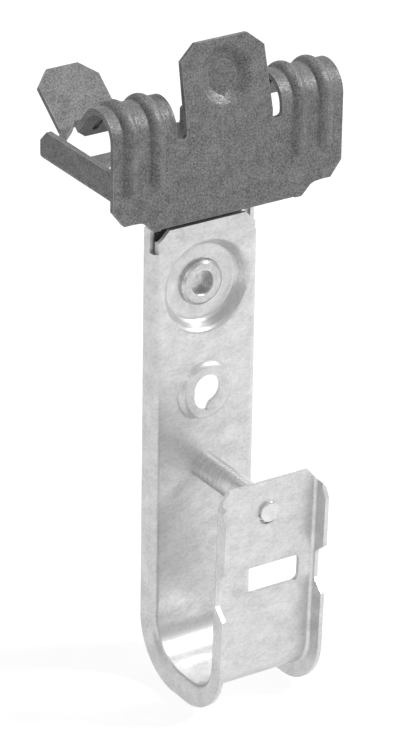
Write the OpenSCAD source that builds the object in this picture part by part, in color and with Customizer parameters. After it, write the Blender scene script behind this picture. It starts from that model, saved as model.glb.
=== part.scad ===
// J hook cable support: a stamped cable hook hung from a spring steel beam clamp.
// Millimetres, +Z up. X runs along the beam's edge and -Y is the side the cables lie on.
// Origin: middle of the clamp, level with the edges that the beam flange sits on,
// at the inner face of the clamp's wall.

/* [Beam clamp wall] */
// Thickness of the clamp's spring steel
clamp_sheet = 1.8; // [1.2:0.1:2.4]
// Inner radius of the clamp's tight bends
clamp_bend = 0.6; // [0.3:0.1:1.2]
// Width of the wall, from end to end
clamp_w = 82.4; // [76:0.2:110]
// Width of the lower corner cut at each end of the wall
ear_cut = 3.9; // [1:0.1:8]
// Height of the lower corner cut at each end of the wall
ear_cut_h = 5.1; // [1:0.1:8]
// How far the wall's ends stop above the underside of the floor
ear_rise = 4.7; // [2:0.1:10]

/* [Tab] */
// Width of the middle tab at its foot
tab_w = 30.8; // [24:0.2:40]
// Width of the tab where its corner cuts start
tab_neck = 29.6; // [20:0.2:40]
// Width of the tab's top edge
tab_top = 18.4; // [8:0.2:30]
// Length of the tab above its bend line
tab_len = 24.4; // [20:0.2:40]
// Height of the tab's corner cuts
tab_cut = 4.7; // [1:0.1:8]
// Backward lean of the tab, degrees
tab_lean = 12.9; // [2:0.1:20]
// Inner radius of the bend that leans the tab
tab_bend = 3; // [1:0.1:6]
// Gap between the tab and each lobe
notch_w = 3.6; // [2:0.1:6]
// Depth of the gap below the lobes' bend line
notch_deep = 2.7; // [1:0.1:8]
// Corner radius at the foot of the gap
notch_r = 1.4; // [0.4:0.1:1.5]
// Rim diameter of the dish pressed into the tab
tab_dish = 20; // [14:0.2:24]
// Depth of the tab's dish
tab_dish_deep = 2.2; // [0.8:0.1:4]
// Radius of the thread impression in the tab's dish
tab_thread_r = 4.4; // [2:0.1:6]
// Tilt of the thread impression, degrees
tab_thread_tilt = 10; // [2:0.5:15]

/* [Lobes] */
// Height of the lobes' bend line above the beam seat
curl_z = 20.7; // [16:0.1:40]
// Inner radius of the curled lobes
curl_r = 7.2; // [4:0.1:12]
// Angle the lobes turn through
curl_angle = 139; // [110:1:160]
// Length of the straight flap after the curl
flap_len = 13.9; // [6:0.1:20]
// Corner cut at the flap's tip
flap_cut = 4.5; // [1:0.1:8]
// Width of each stiffening bead
bead_w = 5.2; // [4:0.1:7]
// Height of each stiffening bead
bead_h = 1.5; // [0.6:0.1:2.2]
// Distance from the middle of the clamp to the inner bead
bead_in = 25.6; // [23:0.1:30]
// Spacing of the two beads on a lobe
bead_gap = 9.3; // [7:0.1:12]
// Height of the beads' lower ends above the beam seat
bead_foot = 6.4; // [2:0.1:15]
// Length of the beads' run down the flap
bead_tail = 9; // [0:0.1:12]

/* [Floor and side flanges] */
// Width over the two side flanges
floor_w = 53.4; // [44:0.2:60]
// Height of the side flanges above the underside of the floor
flange_h = 10.6; // [6:0.1:16]
// Distance from the wall to the rear end of the side flanges
flange_len = 64.9; // [58:0.1:90]
// Corner cut at the upper rear end of the side flanges
flange_cut = 3.8; // [1:0.1:7]
// Gap between the wall and the side flanges
flange_relief = 0.8; // [0.3:0.1:3]
// Distance from the wall to the rear edge of the cut-out the leg comes from
cutout_end = 50.4; // [48:0.1:54]
// Corner cut of the leg and of its cut-out
leg_cut = 7; // [2:0.1:12]
// Width of the bridge behind the cut-out
bridge_w = 5; // [3:0.1:8]
// Half width of the rear window
window_half = 15.5; // [10:0.1:20]
// Distance from the wall to where the window starts to narrow
window_waist = 67.4; // [60:0.1:70]
// Half width of the window at its rear end
window_end = 5.2; // [3:0.1:8]

/* [Tongue] */
// Width of the tongue
tongue_w = 22.6; // [16:0.2:30]
// Distance from the wall to the tongue's bend line
tongue_y = 77.2; // [74:0.1:100]
// Upward slope of the tongue, degrees
tongue_angle = 37.5; // [20:0.5:50]
// Inner radius of the tongue's bend
tongue_bend = 3; // [1:0.1:8]
// Length of the tongue after its bend
tongue_len = 21.4; // [12:0.1:30]
// Corner cut at the tongue's tip
tongue_cut = 5.4; // [1:0.1:8]

/* [Leg and rivet] */
// Width of the leg
leg_w = 32; // [24:0.2:34]
// Distance from the wall to the front face of the leg
leg_y = 15; // [11:0.1:17]
// Distance from the beam seat down to the rivet's axis
rivet_drop = 38.4; // [34:0.1:44]
// Distance from the rivet's axis to the leg's lower edge
leg_below = 7.4; // [7:0.1:9]
// Shank diameter of the rivet
rivet_d = 10; // [8:0.1:11]
// Diameter of the rivet's front head
rivet_head_d = 15.4; // [12:0.1:18]
// Height of the rivet's front head
rivet_head_h = 1.85; // [1:0.05:3]
// Diameter of the recess in the rivet's front head
rivet_cup_d = 7.7; // [4:0.1:7.9]
// Depth of the recess below the foot of the front head
rivet_cup_deep = 1.2; // [0.2:0.1:2]
// Diameter of the rivet's rear head
rivet_back_d = 13; // [11.5:0.1:16]
// Height of the rivet's rear head
rivet_back_h = 1.8; // [1:0.1:3]
// Clearance round the rivet's shank
rivet_fit = 0.05; // [0.02:0.01:0.2]

/* [Hook sheet] */
// Thickness of the hook's steel
hook_sheet = 1.4; // [1:0.1:1.8]
// Width over the hook's flanges
hook_w = 38.1; // [37.6:0.1:46]
// Depth of the flanges, from the cable side
hook_flange = 6.7; // [5:0.1:10]
// Inner radius of the flanges' bends
hook_bend = 1.2; // [0.6:0.1:2]

/* [Hook plate] */
// Distance from the rivet's axis up to the plate's top edge
plate_top = 21.8; // [19:0.1:23]
// Width of the plate's top edge
plate_top_w = 27.7; // [20:0.2:34]
// Depth of the flange ears beside the plate's top
ear_depth = 3.4; // [2:0.1:4]
// Height of the flange ears
ear_h = 7.5; // [5:0.1:12]
// Rim diameter of the rivet's dish
dish_d = 32; // [26:0.2:32.4]
// Floor diameter of the rivet's dish
dish_floor_d = 24; // [20:0.2:26]
// Depth of the rivet's dish
dish_deep = 4.2; // [2:0.1:6]
// Distance from the rivet's axis down to the raised thread boss
boss_drop = 35.7; // [30:0.1:45]
// Diameter of the thread boss
boss_d = 19.8; // [16:0.2:24]
// Height of the thread boss
boss_h = 1.3; // [0.4:0.1:2]
// Diameter of the thread hole in the boss
thread_d = 9.6; // [6:0.1:12]
// How far the thread hole sits above the middle of the boss
thread_up = 0.9; // [0:0.1:2]

/* [Cable loop] */
// Distance from the rivet's axis down to the middle of the loop's bends
loop_drop = 112.2; // [100:0.1:140]
// Cable side radius of the loop
loop_r = 13; // [8:0.1:15]
// Cable side depth of the loop, from plate to lip
loop_gap = 33.3; // [31:0.1:45]

/* [Lip] */
// Length of the lip above the loop's bends
lip_len = 61.2; // [58:0.1:70]
// Outward lean of the lip, degrees
lip_lean = 2; // [0.5:0.1:5]
// Width of the lip's top edge
lip_top_w = 29; // [20:0.2:34]
// Height of the lip's corner cuts
lip_cut = 5.4; // [2:0.1:8]
// Depth of the small clip on the flanges' upper corners
clip_y = 1.9; // [0.5:0.1:3]
// Height of the small clip on the flanges' upper corners
clip_z = 3.1; // [1:0.1:5]
// Width of the slot in the lip
slot_w = 25; // [10:0.1:28]
// Height of the slot in the lip
slot_h = 9.2; // [4.2:0.1:10]
// Corner radius of the slot
slot_r = 2; // [0.5:0.1:2.1]
// Distance from the loop's bends up to the middle of the slot
slot_rise = 27.3; // [22:0.1:32]
// Height of the flange notch at the bend
notch_root = 9.5; // [6:0.1:11]
// Height of the flange notch at the free edge
notch_mouth = 17; // [11:0.1:20]

/* [Cross bar] */
// Distance from the rivet's axis down to the bar
bar_drop = 61.9; // [57:0.1:64]
// Diameter of the bar
bar_d = 9; // [7:0.1:11]
// Diameter of the bar's tenons
tenon_d = 6.8; // [4:0.1:7]
// Clearance round the tenons
tenon_fit = 0.12; // [0.05:0.01:0.3]
// Gap between the bar's shoulder and the lip
shoulder_gap = 0.1; // [0.05:0.01:0.3]
// How far the bar's tip stands beyond the lip
tip_len = 1.2; // [1:0.1:4]
// Rounding of the bar's tip
tip_round = 0.5; // [0.2:0.1:1]
// Diameter of the upset head behind the plate
upset_d = 8.4; // [7:0.1:10]
// Height of the upset head behind the plate
upset_h = 1; // [0.5:0.1:2]

/* [Hidden] */
$fn = 96;

lap = 0.02;       // overlap where the two halves of an outline join
seam = 0.02;      // how much fuller a bend is than the flat stretches that run into it
tuck = 0.2;       // how far a flat stretch runs into a bend
overrun = 1;      // degrees by which a bead's bend is longer than the sheet's
past = 1;         // how far a cutting shape reaches past a face
form_steps = 6;   // rings on each side of a pressed form
leg_gap = 0.4;     // gap beside the leg in the floor's cut-out
window_root = 3.1; // from where the window is as wide as the tongue to the tongue's bend line
window_reach = 2.8; // how far the window runs past the tongue's bend line
dish_rim = 1.2;    // plain sheet above the tab's dish
least_groove = 0.4; // smallest half width of a bead's groove
form_ease = 0.45; // how much wider a form is on its outer side, in sheet thicknesses

clamp_turn = clamp_bend + clamp_sheet;
floor_low = -flange_h;
floor_high = floor_low + clamp_sheet;
floor_flat = floor_w - 2 * clamp_turn;
lobe_in = tab_w / 2 + notch_w;
lobe_w = clamp_w / 2 - lobe_in;
lobe_mid = lobe_in + lobe_w / 2;
bead_r = (pow(bead_w / 2, 2) + pow(bead_h, 2)) / (2 * bead_h);
bead_groove = max(bead_r - clamp_sheet, least_groove);
bead_mid = clamp_sheet + bead_h - bead_r;
leg_back = leg_y + clamp_sheet;
rivet_z = -rivet_drop;
hook_y = leg_y - dish_deep - hook_sheet;
hook_turn_r = hook_bend + hook_sheet;
loop_flat = loop_gap - 2 * loop_r;
bar_rise = loop_drop - bar_drop;
lip_in_y = -loop_gap - (bar_rise - bar_d / 2) * tan(lip_lean);
bar_end_y = lip_in_y + shoulder_gap;
lip_out_y = -loop_gap - hook_sheet - bar_rise * tan(lip_lean);
tip_y = lip_out_y - tip_len;

clamp_colour = [0.43, 0.43, 0.43];
hook_colour = [0.80, 0.80, 0.81];
rivet_colour = [0.74, 0.74, 0.75];
bar_colour = [0.86, 0.86, 0.87];

// ---------- general shapes ----------

// Runs a side view, drawn as (y, z), across X.
module across(width) {
    rotate([90, 0, 90]) linear_extrude(width, center = true) children();
}

// Runs a front view, drawn as (x, z), from one Y to another.
module through(from_y, to_y) {
    translate([0, to_y, 0]) rotate([90, 0, 0]) linear_extrude(to_y - from_y) children();
}

// Turns a profile, drawn as (radius, y), about the Y axis.
module turned() {
    rotate([-90, 0, 0]) rotate_extrude() children();
}

// Both halves of what is drawn for the +X side.
module mirrored_x() {
    children();
    mirror([1, 0, 0]) children();
}

// A rectangle with round corners, centred.
module round_slot(width, height, r) {
    square([width - 2 * r, height], center = true);
    square([width, height - 2 * r], center = true);
    for (x = [-1, 1], y = [-1, 1])
        translate([x * (width / 2 - r), y * (height / 2 - r)]) circle(r);
}

// A rectangle from y = 0 with its two lower corners round.
module channel_area(width, depth, r) {
    translate([-width / 2, r]) square([width, depth - r]);
    translate([-width / 2 + r, 0]) square([width - 2 * r, depth]);
    for (side = [-1, 1])
        translate([side * (width / 2 - r), r]) circle(r);
}

// Section of a sheet with a flange bent up along each edge, fuller by extra all round.
module channel_section(width, depth, sheet, bend, extra = 0) {
    difference() {
        translate([0, -extra])
            channel_area(width + 2 * extra, depth + 2 * extra, bend + sheet + extra);
        translate([0, sheet + extra])
            channel_area(width - 2 * sheet - 2 * extra, depth + 2 * extra, bend - extra);
    }
}

// Turns a section, drawn as (across, outward), about the X axis at radius r.
module section_turn(r, start, angle) {
    rotate([90, 0, 90]) rotate_extrude(angle = angle, start = start)
        translate([r, 0]) mirror([1, -1]) children();
}

// A bend in a flat sheet that is width wide.
module sheet_turn(r, sheet, start, angle, width) {
    section_turn(r, start, angle) translate([-width / 2, 0]) square([width, sheet]);
}

// Places what is drawn on an upright sheet, inner face y = 0, after a bend towards +Y
// that starts at z = 0.
module after_bend(r, angle) {
    translate([0, r, 0]) rotate([-angle, 0, 0]) translate([0, -r, 0]) children();
}

// A bend towards +Y at the top of an upright sheet, inner face y = 0, a seam fuller than it.
module bend_back(r, angle, width) {
    translate([0, r, 0]) section_turn(r - seam, 180 - angle, angle)
        translate([-width / 2, 0]) square([width, clamp_sheet + 2 * seam]);
}

// The smooth wall of a pressed form: from its floor radius out to its rim.
function form_wall(floor_r, rim_r, depth) = [
    for (i = [0 : form_steps])
        let (u = i / form_steps)
        [floor_r + (rim_r - floor_r) * u, depth * (1 + cos(180 * u)) / 2]
];

// A round form pressed into a sheet whose front face is y = 0. A positive depth goes to +Y.
module pressed_form(floor_r, rim_r, depth, sheet) {
    ease = sheet * form_ease * (depth > 0 ? 1 : -1);
    front = form_wall(floor_r - min(ease, 0), rim_r - min(ease, 0), depth);
    back = form_wall(floor_r + max(ease, 0), rim_r + max(ease, 0), depth);
    turned() polygon(concat(
        [[0, depth]],
        front,
        [[rim_r + abs(ease) + lap, 0], [rim_r + abs(ease) + lap, sheet]],
        [for (i = [form_steps : -1 : 0]) back[i] + [0, sheet]],
        [[0, depth + sheet]]
    ));
}

// The comma shaped opening of a one-turn thread pressed into sheet: a round hole, and a
// tail between the edge of a wider circle and a round bite, all in proportion to the hole.
module thread_comma(r) {
    tail_r = 1.19 * r;
    tail_middle = [r / 6, -0.35 * r];
    bite_r = 0.85 * r;
    bite_middle = [bite_r, -1.6 * r];
    tail_reach = 3 * r;
    tail_edge = 0.375 * r;
    circle(r);
    intersection() {
        difference() {
            translate(tail_middle) circle(tail_r);
            translate(bite_middle) circle(bite_r);
        }
        translate([tail_edge - 2 * r, -tail_reach]) square([2 * r, tail_reach + r]);
    }
}

// ---------- hook ----------

module hook_section(extra = 0) {
    channel_section(hook_w, hook_flange, hook_sheet, hook_bend, extra);
}

// Places what is drawn for an upright lip on the lean the lip has.
// The cable side of the lip is y = -loop_r and z = 0 is the middle of the loop's bends.
module on_lip() {
    translate([0, -loop_r - loop_flat, -loop_drop]) rotate([lip_lean, 0, 0]) children();
}

// The folded strip before anything is cut out of it.
module hook_strip() {
    translate([0, 0, -loop_drop - tuck]) linear_extrude(loop_drop + tuck + plate_top) hook_section();
    translate([0, -loop_r, -loop_drop]) section_turn(loop_r, -90, 90) hook_section(seam);
    translate([0, -loop_r - loop_flat - tuck, -loop_drop - loop_r])
        rotate([-90, 0, 0]) linear_extrude(loop_flat + 2 * tuck) hook_section();
    translate([0, -loop_r - loop_flat, -loop_drop])
        section_turn(loop_r, lip_lean - 180, 90 - lip_lean) hook_section(seam);
    on_lip() translate([0, -loop_r, -tuck]) mirror([0, 1, 0])
        linear_extrude(lip_len + tuck) hook_section();
}

// Corner cuts of a sheet edge at height top: from half_top out and down past the edge.
module corner_cuts(half_top, half_w, top, drop) {
    reach = drop * (1 + past / (half_w - half_top));
    mirrored_x() polygon([
        [half_top, top], [half_w + past, top - reach],
        [half_w + past, top + past], [half_top, top + past]
    ]);
}

// The plate's top corners, and the front of the flanges beside them.
module plate_top_cuts() {
    ear_front = hook_flange - ear_depth;
    through(-past, ear_front)
        corner_cuts(plate_top_w / 2, hook_w / 2, plate_top, (hook_w - plate_top_w) / 2);
    through(-past, ear_front) mirrored_x()
        translate([hook_w / 2 - hook_sheet, plate_top - ear_h]) square([hook_sheet + past, ear_h + past]);
}

// The lip's corners, its slot, and the notches in its flanges.
module lip_cuts() {
    free_y = -loop_r - hook_flange;
    shoulder = lip_len - lip_cut;
    root_y = -loop_r - hook_turn_r;
    on_lip() {
        through(free_y - past, past - loop_r)
            corner_cuts(lip_top_w / 2, hook_w / 2, lip_len, lip_cut);
        across(hook_w + 2 * past) polygon([
            [free_y + clip_y, shoulder], [free_y + clip_y, lip_len],
            [free_y - clip_y, lip_len], [free_y - clip_y, shoulder - 2 * clip_z]
        ]);
        across(hook_w + 2 * past) polygon([
            [root_y, slot_rise - notch_root / 2], [root_y, slot_rise + notch_root / 2],
            [free_y - lap, slot_rise + notch_mouth / 2], [free_y - lap, slot_rise - notch_mouth / 2]
        ]);
        through(-loop_r - hook_sheet - past, past - loop_r)
            translate([0, slot_rise]) round_slot(slot_w, slot_h, slot_r);
        translate([0, -loop_r + past, bar_rise / cos(lip_lean) - loop_r * tan(lip_lean)])
            rotate([90, 0, 0]) cylinder(d = tenon_d + 4 * tenon_fit, h = hook_sheet + 2 * past);
    }
}

// Room in the plate for a pressed form of this rim radius.
module form_room(rim_r) {
    rotate([-90, 0, 0]) translate([0, 0, -past])
        cylinder(r = rim_r + hook_sheet * form_ease / 2, h = hook_sheet + 2 * past);
}

module hook() {
    color(hook_colour) translate([0, hook_y, rivet_z]) difference() {
        union() {
            difference() {
                hook_strip();
                form_room(dish_d / 2);
                translate([0, 0, -boss_drop]) form_room(boss_d / 2);
            }
            pressed_form(dish_floor_d / 2, dish_d / 2, dish_deep, hook_sheet);
            translate([0, 0, -boss_drop])
                pressed_form(boss_d / 2 - 2 * boss_h, boss_d / 2, -boss_h, hook_sheet);
        }
        plate_top_cuts();
        lip_cuts();
        rotate([-90, 0, 0]) cylinder(d = rivet_d + 2 * rivet_fit, h = dish_deep + hook_sheet + past);
        through(-boss_h - past, hook_sheet + past)
            translate([0, thread_up - boss_drop]) thread_comma(thread_d / 2);
        translate([0, -past, -bar_drop]) rotate([-90, 0, 0])
            cylinder(d = tenon_d + 2 * tenon_fit, h = hook_sheet + 2 * past);
    }
}

// ---------- beam clamp ----------

// Outline of one half of the wall up to the lobes' bend line, drawn as (x, z).
module wall_half() {
    foot_x = floor_w / 2 - clamp_turn;
    foot_z = floor_low + clamp_turn;
    low = floor_low + clamp_bend;
    ear_z = floor_low + ear_rise;
    knee_run = 0.7 * ear_rise;
    knee_dip = 0.8;
    toe_dip = 0.2;
    level_run = 1.5 * ear_rise;
    polygon([
        [-lap, foot_z], [foot_x, foot_z], [foot_x, low], [floor_w / 2, low],
        [floor_w / 2 + knee_run, ear_z - knee_dip], [floor_w / 2 + ear_rise, ear_z - toe_dip],
        [floor_w / 2 + level_run, ear_z], [clamp_w / 2 - ear_cut, ear_z],
        [clamp_w / 2, ear_z + ear_cut_h], [clamp_w / 2, curl_z + tuck], [-lap, curl_z + tuck]
    ]);
}

// The gap between the tab and a lobe, with a round foot.
module wall_notch() {
    height = notch_deep + tab_len;
    translate([tab_w / 2 + notch_w / 2, curl_z - notch_deep + height / 2])
        round_slot(notch_w, height, notch_r);
}

module clamp_wall() {
    through(-clamp_sheet, 0) difference() {
        mirrored_x() wall_half();
        mirrored_x() wall_notch();
    }
}

// The middle tab: leaning back, with a dish and a thread impression in it.
module clamp_tab() {
    foot = tab_w / 2;
    neck = tab_neck / 2;
    dish_z = tab_len - tab_dish / 2 - dish_rim;
    translate([0, 0, curl_z]) {
        bend_back(tab_bend, tab_lean, tab_w + 2 * seam);
        after_bend(tab_bend, tab_lean) tab_blade(foot, neck, dish_z);
    }
}

// The tab above its bend, drawn upright.
module tab_blade(foot, neck, dish_z) {
    difference() {
        through(-clamp_sheet, 0) mirrored_x() polygon([
            [-lap, -tuck], [foot, -tuck], [neck, tab_len - tab_cut],
            [tab_top / 2, tab_len], [-lap, tab_len]
        ]);
        translate([0, -clamp_sheet - past, dish_z]) rotate([-90, 0, 0])
            cylinder(r = tab_dish / 2 + clamp_sheet * form_ease / 2, h = clamp_sheet + 2 * past);
    }
    translate([0, -clamp_sheet, dish_z]) {
        pressed_form(tab_dish / 4, tab_dish / 2, tab_dish_deep, clamp_sheet);
        translate([0, tab_dish_deep - tab_thread_r * sin(tab_thread_tilt), 0])
            rotate([0, 0, -tab_thread_tilt])
            through(0, clamp_sheet) thread_comma(tab_thread_r);
    }
}

// Section of a bead, drawn as (across, outward) with the sheet's inner face at 0.
module bead_ridge(extra = 0) {
    intersection() {
        translate([0, bead_mid]) circle(bead_r + extra);
        translate([-2 * bead_r, clamp_sheet / 2 - extra]) square([4 * bead_r, 2 * bead_r]);
    }
}

// Section of the groove that a bead leaves on the inner side of the sheet.
module bead_hollow(extra = 0) {
    half = bead_groove + extra;
    crown = bead_groove / 2;
    top = bead_mid + half;
    polygon([
        [-half, -past - extra], [half, -past - extra], [half, top - crown],
        [crown, top], [-crown, top], [-half, top - crown]
    ]);
}

// Closes a run with half a turn of its section, towards +Z or -Z.
module run_end(side) {
    rotate([90, 0, 0]) rotate([0, 0, side > 0 ? 0 : 180]) rotate_extrude(angle = 180)
        intersection() {
            children();
            translate([0, -past]) square([2 * bead_r, past + 2 * bead_r]);
        }
}

// Runs a section up the wall, over the curl and down the flap, with round ends.
// The first child is the section on the flats and the second, fuller, the one on the curl.
module lobe_run() {
    foot = curl_z - bead_foot;
    translate([0, 0, -foot]) {
        mirror([0, 1, 0]) linear_extrude(foot + tuck) children(0);
        run_end(-1) children(0);
    }
    translate([0, curl_r, 0])
        section_turn(curl_r, 180 - curl_angle - overrun, curl_angle + 2 * overrun) children(1);
    after_bend(curl_r, curl_angle) {
        translate([0, 0, -tuck]) mirror([0, 1, 0]) linear_extrude(bead_tail + tuck) children(0);
        translate([0, 0, bead_tail]) run_end(1) children(0);
    }
}

// The middles of the two beads on one lobe, at the lobes' bend line.
module at_beads() {
    for (x = [bead_in, bead_in + bead_gap])
        translate([x, 0, curl_z]) children();
}

// One curled lobe with its flap.
module clamp_lobe() {
    translate([lobe_mid, 0, 0]) bend_back(curl_r, curl_angle, lobe_w + 2 * seam);
    after_bend(curl_r, curl_angle) through(-clamp_sheet, 0) polygon([
        [lobe_in, -tuck], [clamp_w / 2, -tuck], [clamp_w / 2, flap_len - flap_cut],
        [clamp_w / 2 - flap_cut, flap_len], [lobe_in + flap_cut / 2, flap_len],
        [lobe_in, flap_len - flap_cut / 2]
    ]);
}

// Plan of the floor, drawn as (x, y), with the leg's cut-out and the rear window.
module floor_plan() {
    cut_half = leg_w / 2 + leg_gap;
    cut_start = leg_y - clamp_bend;
    window_y = cutout_end + bridge_w;
    difference() {
        mirrored_x() polygon([
            [-lap, clamp_bend], [floor_flat / 2, clamp_bend], [floor_flat / 2, flange_len],
            [tongue_w / 2, tongue_y + tuck], [-lap, tongue_y + tuck]
        ]);
        mirrored_x() polygon([
            [-lap, cut_start], [cut_half, cut_start], [cut_half, cutout_end - leg_cut],
            [cut_half - leg_cut, cutout_end], [-lap, cutout_end]
        ]);
        window_plan(window_y);
    }
}

// Plan of the rear window, which runs a little way up the tongue.
module window_plan(start_y) {
    shoulder_y = tongue_y - window_root;
    end_y = tongue_y + window_reach;
    mirrored_x() polygon([
        [-lap, start_y], [window_half, start_y], [window_half, window_waist],
        [tongue_w / 2, shoulder_y], [window_end, end_y], [-lap, end_y]
    ]);
}

// The two side flanges with their bends, ends clipped.
module side_flanges() {
    bottom_cut = flange_cut / 3;
    intersection() {
        translate([0, flange_len, floor_low]) rotate([90, 0, 0])
            linear_extrude(flange_len - flange_relief)
            difference() {
                channel_section(floor_w, flange_h, clamp_sheet, clamp_bend);
                translate([-floor_flat / 2, -past]) square([floor_flat, flange_h + 2 * past]);
            }
        across(floor_w + 2 * past) polygon([
            [0, floor_low - past], [flange_len - bottom_cut - past, floor_low - past],
            [flange_len, floor_low + bottom_cut], [flange_len, -flange_cut],
            [flange_len - flange_cut - past, past], [0, past]
        ]);
    }
}

// The leg: bent down out of the floor, with the rivet's hole.
module clamp_leg() {
    bend_y = leg_y - clamp_bend;
    bend_z = floor_low - clamp_bend;
    leg_low = rivet_z - leg_below;
    translate([0, bend_y, bend_z]) sheet_turn(clamp_bend, clamp_sheet, 0, 90, leg_w);
    difference() {
        through(leg_y, leg_back) mirrored_x() polygon([
            [-lap, leg_low], [leg_w / 2 - leg_cut, leg_low], [leg_w / 2, leg_low + leg_cut],
            [leg_w / 2, bend_z], [-lap, bend_z]
        ]);
        translate([0, leg_y - past, rivet_z]) rotate([-90, 0, 0])
            cylinder(d = rivet_d + 2 * rivet_fit, h = clamp_sheet + 2 * past);
    }
}

// The tongue: rises from the floor's rear end. The window runs a little way up it.
module clamp_tongue() {
    half = tongue_w / 2;
    outer = tongue_bend + clamp_sheet;
    difference() {
        translate([0, tongue_y, floor_high + tongue_bend]) {
            section_turn(tongue_bend - seam, -90, tongue_angle)
                translate([-half - seam, 0]) square([tongue_w + 2 * seam, clamp_sheet + 2 * seam]);
            rotate([tongue_angle, 0, 0]) translate([0, 0, -outer]) linear_extrude(clamp_sheet)
                mirrored_x() polygon([
                    [-lap, -tuck], [half, -tuck], [half, tongue_len - tongue_cut],
                    [half - tongue_cut, tongue_len], [-lap, tongue_len]
                ]);
        }
        translate([0, 0, floor_low - past]) linear_extrude(flange_h) window_plan(tongue_y - past);
    }
}

module beam_clamp() {
    color(clamp_colour) {
        difference() {
            union() {
                clamp_wall();
                mirrored_x() translate([0, 0, curl_z]) clamp_lobe();
                mirrored_x() at_beads() lobe_run() {
                    bead_ridge();
                    bead_ridge(seam);
                }
            }
            mirrored_x() at_beads() lobe_run() {
                bead_hollow();
                bead_hollow(seam);
            }
        }
        clamp_tab();
        translate([0, clamp_bend, floor_low + clamp_turn])
            sheet_turn(clamp_bend, clamp_sheet, 180, 90, floor_flat);
        translate([0, 0, floor_low]) linear_extrude(clamp_sheet) floor_plan();
        side_flanges();
        clamp_leg();
        clamp_tongue();
    }
}

// ---------- rivet ----------

// Distances along Y from the hook's cable side: the rivet clamps the dish to the leg.
module clamp_rivet() {
    head_foot = dish_deep;
    back_foot = dish_deep + hook_sheet + clamp_sheet;
    edge = rivet_head_h / 3;
    head_r = rivet_head_d / 2;
    cup_r = rivet_cup_d / 2;
    back_r = rivet_back_d / 2;
    color(rivet_colour) translate([0, hook_y, rivet_z]) turned() polygon([
        [0, head_foot + rivet_cup_deep], [cup_r, head_foot + rivet_cup_deep],
        [cup_r, head_foot - rivet_head_h + edge / 2], [cup_r + edge / 2, head_foot - rivet_head_h],
        [head_r - 2 * edge, head_foot - rivet_head_h],
        [head_r - edge / 2, head_foot - rivet_head_h + edge],
        [head_r, head_foot - edge / 2], [head_r, head_foot],
        [rivet_d / 2, head_foot], [rivet_d / 2, back_foot],
        [back_r, back_foot], [back_r, back_foot + rivet_back_h / 2],
        [back_r - rivet_back_h / 2, back_foot + rivet_back_h], [0, back_foot + rivet_back_h]
    ]);
}

// ---------- cross bar ----------

// Distances along Y from the hook's cable side: the bar stands between plate and lip.
module cross_bar() {
    tenon_r = tenon_d / 2;
    upset_r = upset_d / 2;
    dome = tip_round / 2;
    color(bar_colour) translate([0, hook_y, -rivet_drop - bar_drop]) turned() polygon([
        [0, tip_y], [tenon_r - tip_round, tip_y], [tenon_r - dome / 2, tip_y + dome / 2],
        [tenon_r, tip_y + tip_round], [tenon_r, bar_end_y],
        [bar_d / 2, bar_end_y], [bar_d / 2, 0],
        [tenon_r, 0], [tenon_r, hook_sheet],
        [upset_r, hook_sheet], [upset_r, hook_sheet + upset_h / 2],
        [upset_r - upset_h / 2, hook_sheet + upset_h], [0, hook_sheet + upset_h]
    ]);
}

hook();
beam_clamp();
clamp_rivet();
cross_bar();
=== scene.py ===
# Cable hook on its beam clamp: galvanised sheet, phosphated spring steel, plated rivet and bar.
import math
import bpy
from mathutils import Matrix, Vector


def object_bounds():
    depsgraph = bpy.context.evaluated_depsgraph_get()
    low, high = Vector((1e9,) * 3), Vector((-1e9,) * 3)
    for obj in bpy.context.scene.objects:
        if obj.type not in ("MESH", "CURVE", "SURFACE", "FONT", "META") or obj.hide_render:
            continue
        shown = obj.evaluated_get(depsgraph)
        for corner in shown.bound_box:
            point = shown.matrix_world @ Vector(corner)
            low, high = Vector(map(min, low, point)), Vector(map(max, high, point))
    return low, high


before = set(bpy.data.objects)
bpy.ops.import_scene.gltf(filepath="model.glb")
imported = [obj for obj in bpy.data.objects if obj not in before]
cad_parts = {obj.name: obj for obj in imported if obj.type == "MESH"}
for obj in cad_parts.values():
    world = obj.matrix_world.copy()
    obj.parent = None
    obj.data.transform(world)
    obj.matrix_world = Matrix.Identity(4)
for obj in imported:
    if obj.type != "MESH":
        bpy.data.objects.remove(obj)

cadLow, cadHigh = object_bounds()
cadMiddle = (cadLow + cadHigh) / 2
print("stage: frame loaded")

# one finish for each piece: sizes in metres, grey levels linear
# the lightest grey of each finish is a painted highlight laid along its sharp edges, and the radius
# sets how wide that band is
galvanised = dict(node="hook", slot="galvanised_sheet", dark=0.58, light=0.74, edge=0.78,
                  patch=0.0045, grain=0.0008, patchShare=0.45, stretch=(0.6, 1, 1),
                  metallic=0.72, roughLow=0.28, roughHigh=0.44, bump=0.00010, edgeRadius=0.0003)
phosphated = dict(node="beam_clamp", slot="spring_steel", dark=0.085, light=0.25, edge=0.36,
                  patch=0.0040, grain=0.00055, patchShare=0.22, stretch=(1, 1, 1),
                  metallic=0.30, roughLow=0.42, roughHigh=0.62, bump=0.00022, edgeRadius=0.0005)
satinRivet = dict(node="clamp_rivet", slot="rivet_steel", dark=0.48, light=0.68, edge=0.78,
                  patch=0.0030, grain=0.0006, patchShare=0.5, stretch=(1, 1, 1),
                  metallic=0.75, roughLow=0.24, roughHigh=0.38, bump=0.00006, edgeRadius=0.0003)
platedBar = dict(node="cross_bar", slot="plated_bar", dark=0.62, light=0.80, edge=0.84,
                 patch=0.0060, grain=0.0010, patchShare=0.5, stretch=(1, 3.5, 1),
                 metallic=0.78, roughLow=0.20, roughHigh=0.32, bump=0.00005, edgeRadius=0.0003)
finishes = [galvanised, phosphated, satinRivet, platedBar]

# how the two noises of every finish are read
mottle = dict(patchDetail=3, patchRoughness=0.55, grainDetail=4, grainRoughness=0.65,
              toneLow=0.38, toneHigh=0.62, glossLow=0.36, glossHigh=0.64, bumpStrength=0.5)
# how sharp an edge has to be to take the painted highlight, and how unevenly that highlight is
# painted
edgeHighlight = dict(samples=6, flatDot=0.995, sharpDot=0.80, patchLow=0.3, patchHigh=0.6, least=0.45)

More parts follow.
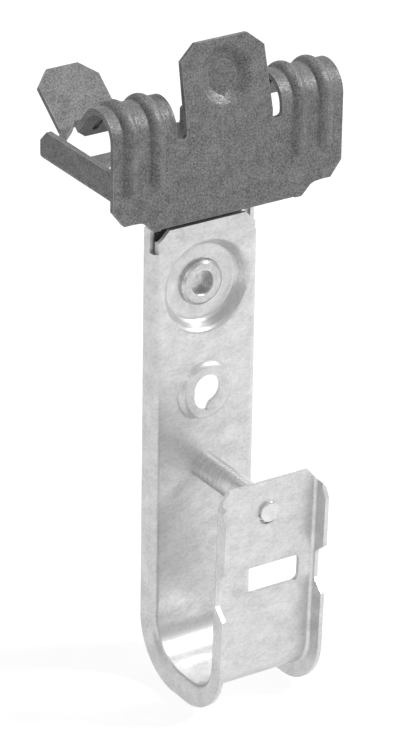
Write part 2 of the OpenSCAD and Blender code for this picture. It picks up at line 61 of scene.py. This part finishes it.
camera = dict(place=(-0.6625, -1.0001, 0.5166), azimuth=-33.28, elevation=25.87, roll=0.94,
              lens=206.8, sensor=36, nearClip=0.05, farClip=50)
# places of the lamps and of the black card are counted from the middle of the object
lamps = [
    dict(name="keyLamp", place=(1.15, -0.70, 1.15), size=0.45, power=24.0),
    dict(name="fillLamp", place=(-0.60, -1.50, 0.30), size=0.90, power=3.0),
    dict(name="topLamp", place=(0.15, 0.25, 1.70), size=0.80, power=5.0),
]
flag = dict(place=(-0.30, -0.60, -0.10), width=0.16, height=0.50, tone=0.01)
floor = dict(size=14, gap=0.0004, tone=0.80, seenTone=0.34, glow=0.84)
surroundings = dict(ambient=0.24, frontGrey=0.50, frontY=-0.5, backY=0.25)


def grey(level):
    return (level, level, level, 1)


def newTree(material):
    material.use_nodes = True
    material.node_tree.nodes.clear()
    return material.node_tree


def joinSocket(tree, socket, value):
    # A socket takes a fixed value, or a link from another node's output.
    if isinstance(value, (int, float, tuple)):
        socket.default_value = value
    else:
        tree.links.new(value, socket)


def ranged(tree, source, lowIn, highIn, lowOut, highOut):
    # A straight rescaling of source, kept between its ends.
    node = tree.nodes.new("ShaderNodeMapRange")
    names = ("From Min", "From Max", "To Min", "To Max")
    for name, value in zip(names, (lowIn, highIn, lowOut, highOut)):
        node.inputs[name].default_value = value
    tree.links.new(source, node.inputs["Value"])
    return node.outputs["Result"]


def calculated(tree, operation, first, second):
    node = tree.nodes.new("ShaderNodeMath")
    node.operation = operation
    joinSocket(tree, node.inputs[0], first)
    joinSocket(tree, node.inputs[1], second)
    return node.outputs["Value"]


def noise(tree, place, size, detail, roughness):
    node = tree.nodes.new("ShaderNodeTexNoise")
    node.inputs["Scale"].default_value = 1 / size
    node.inputs["Detail"].default_value = detail
    node.inputs["Roughness"].default_value = roughness
    tree.links.new(place, node.inputs["Vector"])
    return node.outputs[0]


def mixed(tree, factor, first, second):
    # Sockets 6 and 7 are the two colours of a colour mix, and output 2 is its colour.
    node = tree.nodes.new("ShaderNodeMix")
    node.data_type = "RGBA"
    tree.links.new(factor, node.inputs[0])
    joinSocket(tree, node.inputs[6], first)
    joinSocket(tree, node.inputs[7], second)
    return node.outputs[2]


def edgeMask(tree, radius):
    # Mask of the painted edge highlight: how far a rounded normal turns away from the true one,
    # near 1 along sharp edges.
    bevel = tree.nodes.new("ShaderNodeBevel")
    bevel.samples = edgeHighlight["samples"]
    bevel.inputs["Radius"].default_value = radius
    geometry = tree.nodes.new("ShaderNodeNewGeometry")
    dot = tree.nodes.new("ShaderNodeVectorMath")
    dot.operation = "DOT_PRODUCT"
    tree.links.new(bevel.outputs[0], dot.inputs[0])
    tree.links.new(geometry.outputs["Normal"], dot.inputs[1])
    return ranged(tree, dot.outputs["Value"], edgeHighlight["flatDot"], edgeHighlight["sharpDot"], 0, 1)


def stretchedPlace(tree, stretch):
    place = tree.nodes.new("ShaderNodeTexCoord").outputs["Object"]
    mapping = tree.nodes.new("ShaderNodeMapping")
    mapping.inputs["Scale"].default_value = stretch
    tree.links.new(place, mapping.inputs["Vector"])
    return mapping.outputs["Vector"]


def bumped(tree, height, distance):
    bump = tree.nodes.new("ShaderNodeBump")
    bump.inputs["Strength"].default_value = mottle["bumpStrength"]
    bump.inputs["Distance"].default_value = distance
    tree.links.new(height, bump.inputs["Height"])
    return bump.outputs["Normal"]


def steel(values):
    # Mottled patches and fine grain set the colour and the gloss, and sharp edges are painted
    # lighter as a highlight.
    material = bpy.data.materials.new(values["slot"])
    tree = newTree(material)
    output = tree.nodes.new("ShaderNodeOutputMaterial")
    shader = tree.nodes.new("ShaderNodeBsdfPrincipled")
    shader.inputs["Metallic"].default_value = values["metallic"]
    tree.links.new(shader.outputs[0], output.inputs["Surface"])

    place = stretchedPlace(tree, values["stretch"])
    patches = noise(tree, place, values["patch"], mottle["patchDetail"], mottle["patchRoughness"])
    grain = noise(tree, place, values["grain"], mottle["grainDetail"], mottle["grainRoughness"])
    both = calculated(tree, "ADD",
                      calculated(tree, "MULTIPLY", patches, values["patchShare"]),
                      calculated(tree, "MULTIPLY", grain, 1 - values["patchShare"]))

    tone = ranged(tree, both, mottle["toneLow"], mottle["toneHigh"], 0, 1)
    body = mixed(tree, tone, grey(values["dark"]), grey(values["light"]))
    # painted highlight: sharp edges turn lighter, more in some patches than in others
    uneven = ranged(tree, patches, edgeHighlight["patchLow"], edgeHighlight["patchHigh"], edgeHighlight["least"], 1)
    highlighted = calculated(tree, "MULTIPLY", edgeMask(tree, values["edgeRadius"]), uneven)
    tree.links.new(mixed(tree, highlighted, body, grey(values["edge"])), shader.inputs["Base Color"])

    gloss = ranged(tree, both, mottle["glossLow"], mottle["glossHigh"],
                   values["roughHigh"], values["roughLow"])
    tree.links.new(gloss, shader.inputs["Roughness"])
    tree.links.new(bumped(tree, both, values["bump"]), shader.inputs["Normal"])
    return material


def seenDirectly(tree):
    # 1 for camera, glossy and transmission rays, 0 for the rays that light surfaces.
    path = tree.nodes.new("ShaderNodeLightPath")
    rays = calculated(tree, "ADD", path.outputs["Is Camera Ray"], path.outputs["Is Glossy Ray"])
    rays = calculated(tree, "ADD", rays, path.outputs["Is Transmission Ray"])
    return calculated(tree, "MINIMUM", rays, 1)


def shadedBySight(tree, output, lighting, seen):
    # One shader for the rays that light surfaces, and another for those that see directly.
    mix = tree.nodes.new("ShaderNodeMixShader")
    tree.links.new(seenDirectly(tree), mix.inputs["Fac"])
    tree.links.new(lighting.outputs[0], mix.inputs[1])
    tree.links.new(seen.outputs[0], mix.inputs[2])
    tree.links.new(mix.outputs[0], output.inputs["Surface"])


def matt(tree, tone):
    shader = tree.nodes.new("ShaderNodeBsdfDiffuse")
    shader.inputs["Color"].default_value = grey(tone)
    return shader


def dressNodes():
    for values in finishes:
        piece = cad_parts[values["node"]]
        piece.data.materials.clear()
        piece.data.materials.append(steel(values))


def makeWorld():
    # The backdrop is white towards +Y and greyer towards the front of the studio.
    world = bpy.data.worlds.new("studioWorld")
    bpy.context.scene.world = world
    tree = newTree(world)
    output = tree.nodes.new("ShaderNodeOutputWorld")
    lit = tree.nodes.new("ShaderNodeBackground")
    lit.inputs["Strength"].default_value = surroundings["ambient"]
    lit.inputs["Color"].default_value = grey(1)
    seen = tree.nodes.new("ShaderNodeBackground")
    direction = tree.nodes.new("ShaderNodeTexCoord").outputs["Generated"]
    parts = tree.nodes.new("ShaderNodeSeparateXYZ")
    tree.links.new(direction, parts.inputs[0])
    backward = ranged(tree, parts.outputs["Y"], surroundings["frontY"], surroundings["backY"], 0, 1)
    backdrop = mixed(tree, backward, grey(surroundings["frontGrey"]), grey(1))
    tree.links.new(backdrop, seen.inputs["Color"])
    shadedBySight(tree, output, lit, seen)


def stageSheet(name, corners, material):
    # A flat rectangle of the studio, which is no part of the object.
    mesh = bpy.data.meshes.new(name)
    mesh.from_pydata([tuple(corner) for corner in corners], [], [(0, 1, 2, 3)])
    mesh.materials.append(material)
    sheet = bpy.data.objects.new(name, mesh)
    bpy.context.collection.objects.link(sheet)
    return sheet


def makeFloor():
    # Pale floor: white where it is lit, a little darker in the object's shadow.
    material = bpy.data.materials.new("floorPaper")
    tree = newTree(material)
    output = tree.nodes.new("ShaderNodeOutputMaterial")
    glow = tree.nodes.new("ShaderNodeEmission")
    glow.inputs["Strength"].default_value = floor["glow"]
    added = tree.nodes.new("ShaderNodeAddShader")
    tree.links.new(matt(tree, floor["seenTone"]).outputs[0], added.inputs[0])
    tree.links.new(glow.outputs[0], added.inputs[1])
    shadedBySight(tree, output, matt(tree, floor["tone"]), added)
    half = floor["size"] / 2
    level = cadLow.z - floor["gap"]
    corners = [(-half, -half, level), (half, -half, level), (half, half, level),
               (-half, half, level)]
    stageSheet("floor", corners, material)


def makeFlag():
    # A black card in front of the object, to its left, that only reflections show.
    material = bpy.data.materials.new("blackCard")
    tree = newTree(material)
    output = tree.nodes.new("ShaderNodeOutputMaterial")
    tree.links.new(matt(tree, flag["tone"]).outputs[0], output.inputs["Surface"])
    offset = Vector(flag["place"])
    middle = cadMiddle + offset
    side = offset.cross(Vector((0, 0, 1))).normalized() * flag["width"] / 2
    rise = Vector((0, 0, flag["height"] / 2))
    corners = [middle - side - rise, middle + side - rise, middle + side + rise,
               middle - side + rise]
    card = stageSheet("blackCard", corners, material)
    card.visible_camera = False
    card.visible_diffuse = False
    card.visible_shadow = False


def cameraTurn():
    # Forward from azimuth and elevation, then right and up rolled about it.
    azimuth, elevation, roll = (math.radians(camera[k]) for k in ("azimuth", "elevation", "roll"))
    forward = Vector((-math.sin(azimuth) * math.cos(elevation),
                      math.cos(azimuth) * math.cos(elevation), -math.sin(elevation)))
    level = Vector((math.cos(azimuth), math.sin(azimuth), 0))
    upright = level.cross(forward)
    right = level * math.cos(roll) + upright * math.sin(roll)
    up = upright * math.cos(roll) - level * math.sin(roll)
    return Matrix((right, up, -forward)).transposed()


def makeCamera():
    data = bpy.data.cameras.new("camera")
    data.lens = camera["lens"]
    data.sensor_width = camera["sensor"]
    data.clip_start = camera["nearClip"]
    data.clip_end = camera["farClip"]
    view = bpy.data.objects.new("camera", data)
    bpy.context.collection.objects.link(view)
    view.matrix_world = Matrix.Translation(camera["place"]) @ cameraTurn().to_4x4()
    bpy.context.scene.camera = view


def makeLamps():
    for values in lamps:
        data = bpy.data.lights.new(values["name"], "AREA")
        data.shape = "DISK"
        data.size = values["size"]
        data.energy = values["power"]
        lamp = bpy.data.objects.new(values["name"], data)
        offset = Vector(values["place"])
        lamp.location = cadMiddle + offset
        lamp.rotation_mode = "QUATERNION"
        lamp.rotation_quaternion = (-offset).to_track_quat("-Z", "Y")
        bpy.context.collection.objects.link(lamp)


bpy.context.scene.view_settings.view_transform = "Standard"
makeCamera()
print("stage: camera placed")
dressNodes()
print("stage: finishes on the steel")
makeWorld()
makeFloor()
makeLamps()
makeFlag()
print("stage: studio lit")
